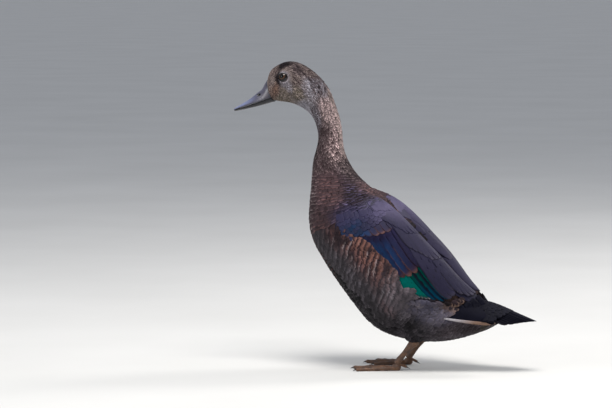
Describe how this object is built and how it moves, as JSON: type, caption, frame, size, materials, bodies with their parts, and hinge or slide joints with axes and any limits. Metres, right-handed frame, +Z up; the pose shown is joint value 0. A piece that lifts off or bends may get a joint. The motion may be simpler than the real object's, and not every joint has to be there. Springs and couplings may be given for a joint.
{
  "type": "life-size still model of a duck",
  "caption": "Life-size still model of a brown domestic hen duck standing upright, long neck raised, wings folded and tail closed, resting on its webbed feet.",
  "frame": {"origin": "on the floor under the middle of the body, level with the soles", "axes": "+Z up, -X the way the duck faces with its bill at the -X end and its tail tip at the +X end, -Y the duck's left side"},
  "size_m": [0.4015, 0.1304, 0.3914],
  "materials": {
    "feather_brown": "matt mottled brown feathers",
    "feather_dark": "smooth dark feathers with a faint violet and green sheen",
    "bill": "satin slate-grey bill skin",
    "horn": "dull dark horn",
    "eye": "wet gloss",
    "leg": "matt scaled skin"
  },
  "bodies": {
    "root": {"head": "feather_brown", "neck": "feather_brown", "trunk": "feather_brown", "tail_coverts": "feather_brown", "shank_left": "feather_brown", "shank_right": "feather_brown", "tail": "feather_dark", "wing_left": "feather_dark", "wing_right": "feather_dark", "bill_upper": "bill", "bill_lower": "bill", "bill_nail": "horn", "hallux_claw_left": "horn", "hallux_claw_right": "horn", "claw_inner_left": "horn", "claw_inner_right": "horn", "claw_middle_left": "horn", "claw_middle_right": "horn", "claw_outer_left": "horn", "claw_outer_right": "horn", "eye_left": "eye", "eye_right": "eye", "tarsus_left": "leg", "tarsus_right": "leg", "foot_left": "leg", "foot_right": "leg", "hallux_left": "leg", "hallux_right": "leg"}
  },
  "joints": []
}
